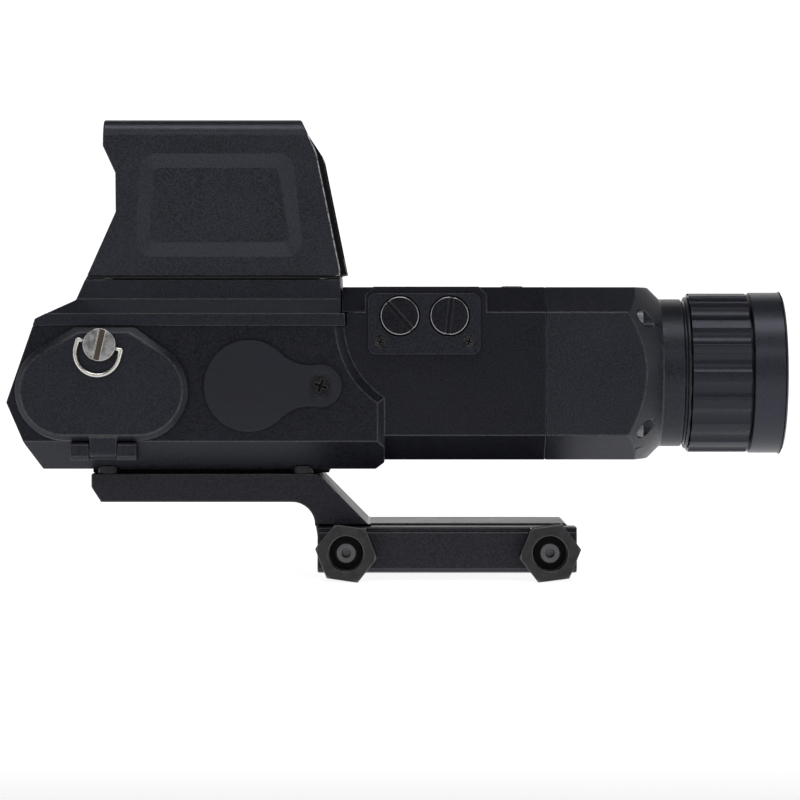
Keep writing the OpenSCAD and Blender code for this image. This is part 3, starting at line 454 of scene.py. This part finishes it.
# Slots whose bevelled edges have a material of their own
EDGES = {
    "housing_black": EDGE, "hood_black": EDGE, "mount_black": EDGE, "door_black": EDGE,
    "oxide_steel": STEEL_EDGE, "dark_screw": STEEL_EDGE,
}
# Nodes whose edges differ from the rest of their slot
NODE_EDGES = {
    "windage_dial": rim_steel("windage_rim", "windage_dial", 0.93),
    "elevation_dial": rim_steel("elevation_rim", "elevation_dial", 0.93),
    # The hood's bevels carry a painted highlight along its slanted front edge.
    "hood": edge_wear_and_highlight("hood_edge", (0.013, 0.014, 0.018), front_highlight=True),
    "spacer_screws": NODE_LOOKS["spacer_screws"],
    # The screws' bevels are lighter grey than their heads: a painted highlight ring round each.
    "adjuster_plate_screws": edge_wear_and_highlight("plate_screw_edge", (0.1, 0.1, 0.1)),
    "port_cover_screw": edge_wear_and_highlight("cover_screw_edge", (0.07, 0.07, 0.07)),
}
# Bevel widths in millimetres where a node's edges aren't the usual ones
BEVELS = {
    "hood": 0.3, "main_housing": 0.22, "front_housing": 0.3, "hood_base": 0.22, "riser": 0.35,
    "clamp_jaw": 0.3, "focus_ring": 0.12, "objective_bell": 0.3, "battery_door": 0.3,
    "clamp_nut_rear": 0.15, "clamp_nut_front": 0.15, "d_ring": 0, "latch_screw": 0.14,
    "port_cover_screw": 0.05, "adjuster_plate_screws": 0.04, "windage_dial": 0.2, "elevation_dial": 0.2,
    "front_window": 0.12, "rear_window": 0.12, "front_lens": 0, "rear_lens": 0, "projection_lens": 0,
    "usb_port": 0.03, "adjuster_plate": 0.15,
}
USUAL_BEVEL = 0.12
# Distance in millimetres within which a node's points merge.
# It is wider on the hood, which has a hair-thin step round each panel.
USUAL_WELD = 0.002
WELDS = {"hood": 0.015}
# Angle in degrees past which a node's shallow creases stay crisp
CREASES = {"hood": 8}
# Angles in degrees: flatter edges than the first dissolve, sharper edges than the second get a bevel
FLAT_ANGLE, BEVEL_ANGLE = 0.6, 28


def dress_cad_node(name, slot):
    """Welds and bevels a CAD node's edges for shading, and gives it its materials."""
    piece = NODES[name]
    piece.data.materials.clear()
    piece.data.materials.append(NODE_LOOKS.get(name, MATERIALS[slot]))
    piece.data.materials.append(NODE_EDGES.get(name, EDGES.get(slot, MATERIALS[slot])))
    for polygon in piece.data.polygons:
        polygon.use_smooth = True
        polygon.material_index = 0
    weld = piece.modifiers.new("weld", "WELD")
    weld.merge_threshold = WELDS.get(name, USUAL_WELD) * MM
    flat = piece.modifiers.new("flat", "DECIMATE")
    flat.decimate_type = "DISSOLVE"
    flat.angle_limit = math.radians(FLAT_ANGLE)
    width = BEVELS.get(name, USUAL_BEVEL)
    if width:
        bevel = piece.modifiers.new("bevel", "BEVEL")
        bevel.width = width * MM
        bevel.segments = 2
        bevel.limit_method = "ANGLE"
        bevel.angle_limit = math.radians(BEVEL_ANGLE)
        bevel.material = 1
        bevel.use_clamp_overlap = False
        bevel.harden_normals = False
    if name in CREASES:
        crease = piece.modifiers.new("crease", "EDGE_SPLIT")
        crease.split_angle = math.radians(CREASES[name])
    shade = piece.modifiers.new("shade", "WEIGHTED_NORMAL")
    shade.keep_sharp = False
    shade.weight = 80


# ---------------------------------------------------------------- detail pieces

def mesh_piece(name, points, faces, body, slot):
    """A smooth-shaded mesh in metres, riding on a CAD body."""
    mesh = bpy.data.meshes.new(name)
    mesh.from_pydata(points, [], faces)
    mesh.validate()
    for polygon in mesh.polygons:
        polygon.use_smooth = True
    piece = bpy.data.objects.new(name, mesh)
    SCENE.collection.objects.link(piece)
    mesh.materials.append(MATERIALS[slot])
    if body:
        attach(piece, body)
    return piece


def ring_faces(rings, count):
    """The faces between rings of count points, which follow each other in the list of points."""
    faces = []
    for ring in range(rings - 1):
        a, b = ring * count, (ring + 1) * count
        for i in range(count):
            j = (i + 1) % count
            faces.append((a + i, a + j, b + j, b + i))
    return faces


def capped_faces(rings, count):
    """The faces between rings of count points, and one face on each end."""
    last = (rings - 1) * count
    return ring_faces(rings, count) + [tuple(reversed(range(count))), tuple(range(last, last + count))]


def arc(centre, radius, first, last, steps):
    """Points along an arc in X and Z, from angle first to angle last in radians."""
    turns = [first + (last - first) * i / steps for i in range(steps + 1)]
    return [(centre[0] + radius * math.cos(turn), centre[1] + radius * math.sin(turn)) for turn in turns]


def cover_half_outline(flap, flap_r, tail, tail_r, fillet_r):
    """The upper half of the port cover's outline, from the flap's far tip to the tail's tip."""
    span = tail[0] - flap[0]
    a, b = flap_r + fillet_r, tail_r + fillet_r
    across = (a * a - b * b + span * span) / (2 * span)
    up = math.sqrt(a * a - across * across)
    flap_turn = math.atan2(up, across)
    tail_turn = math.atan2(up, span - across)
    points = arc(flap, flap_r, math.pi, flap_turn, 30)
    points += arc((flap[0] + across, flap[1] + up), fillet_r, flap_turn - math.pi, -tail_turn, 14)[1:]
    points += arc(tail, tail_r, math.pi - tail_turn, 0, 18)[1:]
    return points


def port_cover():
    """The rubber cover as one moulding with a rolled edge."""
    flap_low, flap_high = node_box("port_cover_flap")
    tail_high = node_box("port_cover_tail")[1]
    flap_r = (flap_high.z - flap_low.z) / 2
    tail_r, fillet_r, roll, seat_r = 5.3 * MM, 10 * MM, 0.55 * MM, 2.66 * MM
    middle = (flap_low.z + flap_high.z) / 2
    flap = (flap_low.x + flap_r, middle)
    tail = (tail_high.x - tail_r, middle)
    half = cover_half_outline(flap, flap_r, tail, tail_r, fillet_r)
    outline = half + [(x, 2 * middle - z) for x, z in half[-2:0:-1]]
    count, last = len(outline), len(half) - 1
    front, back = flap_low.y, flap_high.y
    # Rings from the back face round the rolled edge: depth and inset
    rings = [(back, 0.15 * MM), (back - 0.15 * MM, 0)]
    for i in range(5):
        turn = math.radians(90) * i / 4
        rings.append((front + roll * (1 - math.sin(turn)), roll * (1 - math.cos(turn))))
    points = []
    for depth, inset in rings:
        for i, (x, z) in enumerate(outline):
            before, after = outline[i - 1], outline[(i + 1) % count]
            along = Vector((after[0] - before[0], after[1] - before[1])).normalized()
            points.append((x + along.y * inset, depth, z - along.x * inset))
    faces = ring_faces(len(rings), count)
    for base, flip in ((0, True), ((len(rings) - 1) * count, False)):
        for i in range(last):
            strip = [base + i, base + i + 1, base + (count - i - 1) % count, base + (count - i) % count]
            strip = list(dict.fromkeys(strip))
            faces.append(tuple(reversed(strip)) if flip else tuple(strip))
    piece = mesh_piece("rubber_port_cover", points, faces, None, "rubber_black")
    cut_screw_seat(piece, (tail[0], middle), seat_r, front, 0.7 * MM)
    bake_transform(piece)
    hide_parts("port_cover_tail", "port_cover_flap")


def hood_gasket():
    """The black gasket in the groove between the hood and its base."""
    hood_side = node_box("hood")[1].y
    base_top = node_box("hood_base")[1].z
    rear_x, front_x = -88.9 * MM, -26.8 * MM
    half_w, wall, chamfer = hood_side - 0.15 * MM, 0.6 * MM, 0.1 * MM
    top, bottom = base_top - 0.04 * MM, base_top - 0.86 * MM
    section = ((half_w - wall, bottom), (half_w, bottom + chamfer), (half_w, top - chamfer),
               (half_w - wall, top))
    points, faces = [], []
    for side in (-1, 1):
        base = len(points)
        for x in (rear_x, front_x):
            points += [(x, side * y, z) for y, z in section]
        faces += [tuple(base + i for i in face) for face in capped_faces(2, len(section))]
    mesh_piece("hood_gasket", points, faces, "housing", "seal_rubber")


def round_bar(path, radius, sides):
    """The points and faces of a round bar along a path, with closed ends."""
    points = []
    for i, place in enumerate(path):
        along = (path[min(i + 1, len(path) - 1)] - path[max(i - 1, 0)]).normalized()
        across = along.cross(Vector((0, 1, 0))).normalized()
        up = along.cross(across)
        for turn in circle_turns(sides):
            points.append(place + radius * (math.cos(turn) * across + math.sin(turn) * up))
    return points, capped_faces(len(path), sides)


def cell_springs():
    """A wound spring behind each battery cell."""
    low, high = node_box("battery_springs")
    outer_r, wire_r, turns, steps = (high.z - low.z) / 2, 0.3 * MM, 3.5, 24
    coil_r = outer_r - wire_r
    middle = (low.z + high.z) / 2
    rise = high.y - low.y - 2 * wire_r
    for side, x in (("rear", low.x + outer_r), ("front", high.x - outer_r)):
        path = []
        for i in range(int(turns * steps) + 1):
            turn = math.tau * i / steps
            depth = low.y + wire_r + rise * i / (turns * steps)
            path.append(Vector((x + coil_r * math.cos(turn), depth, middle + coil_r * math.sin(turn))))
        points, faces = round_bar(path, wire_r, 8)
        spring = mesh_piece("cell_spring_" + side, points, faces, "housing", "contact_gold")
    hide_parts("battery_springs")


def cell_caps():
    """The metal end cap of each battery cell, with its low contact step."""
    low, high = node_box("battery_cells")
    cell_r = (high.z - low.z) / 2
    middle = (low.z + high.z) / 2
    # Each ring's radius and its height in front of the cell's end, in millimetres
    profile = ((4.2, 0.3), (4.6, 0.12), (6.4, 0.12), (6.9, 0.02), (6.9, -0.1))
    sides = 48
    for side, x in (("rear", low.x + cell_r), ("front", high.x - cell_r)):
        points = []
        for radius, height in profile:
            for turn in circle_turns(sides):
                points.append((x + radius * MM * math.cos(turn), low.y - height * MM,
                               middle + radius * MM * math.sin(turn)))
        faces = capped_faces(len(profile), sides)
        cap = mesh_piece("cell_cap_" + side, points, faces, "housing", "bright_steel")
        crisp = cap.modifiers.new("crisp", "EDGE_SPLIT")
        crisp.split_angle = math.radians(20)


def cut_screw_seat(piece, centre, radius, front, depth):
    """Sinks a round seat and a shank hole into a moulding's front face."""
    shank_r, shank_depth = 1.05 * MM, 3 * MM
    for size, reach in ((radius, depth), (shank_r, shank_depth)):
        bm = bmesh.new()
        bmesh.ops.create_cone(bm, cap_ends=True, segments=48, radius1=size, radius2=size,
                              depth=reach + MM)
        turn = Matrix.Rotation(math.radians(90), 4, "X")
        place = Matrix.Translation((centre[0], front + (reach - MM) / 2, centre[1]))
        bmesh.ops.transform(bm, matrix=place @ turn, verts=bm.verts)
        mesh = bpy.data.meshes.new("seat_cutter")
        bm.to_mesh(mesh)
        bm.free()
        cutter = bpy.data.objects.new("seat_cutter", mesh)
        SCENE.collection.objects.link(cutter)
        cut = piece.modifiers.new("seat", "BOOLEAN")
        cut.operation = "DIFFERENCE"
        cut.object = cutter
        cut.solver = "EXACT"
        bpy.context.view_layer.update()
        evaluated = piece.evaluated_get(bpy.context.evaluated_depsgraph_get())
        cut_mesh = bpy.data.meshes.new_from_object(evaluated)
        piece.modifiers.clear()
        piece.data = cut_mesh
        bpy.data.objects.remove(cutter)


look_along_y("camera", place=(-0.0118, -0.85, 0.0538), lens=151.1, shift_y=-0.0875)
floor_z = cad_bounds[0][2]
cyclorama(floor_z)

world = bpy.data.worlds.new("studio")
SCENE.world = world
world.use_nodes = True
world.node_tree.nodes["Background"].inputs["Color"].default_value = (1, 1, 1, 1)
world.node_tree.nodes["Background"].inputs["Strength"].default_value = 0.02
SCENE.view_settings.view_transform = "Standard"

OBJECT_MIDDLE = (-0.012, 0, 0.05)
area_light("left_softbox", (-0.78, -1.3, 0.12), OBJECT_MIDDLE, (0.4, 0.9), 2.2)
area_light("right_softbox", (0.76, -1.3, 0.12), OBJECT_MIDDLE, (0.4, 0.9), 2.2)
area_light("upper_softbox", (0, -1.3, 0.82), OBJECT_MIDDLE, (1.0, 0.35), 2.4)
area_light("top_softbox", (0, -0.45, 1.4), OBJECT_MIDDLE, (1.2, 0.5), 9)
area_light("right_edge_light", (1.2, -0.15, 0.2), OBJECT_MIDDLE, (0.5, 0.8), 2)
area_light("left_edge_light", (-1.2, -0.15, 0.2), OBJECT_MIDDLE, (0.5, 0.8), 2)

for part in frame["record"]["subparts"]:
    dress_cad_node(part["node"], part["material_slot"])
port_cover()
hood_gasket()
cell_springs()
cell_caps()
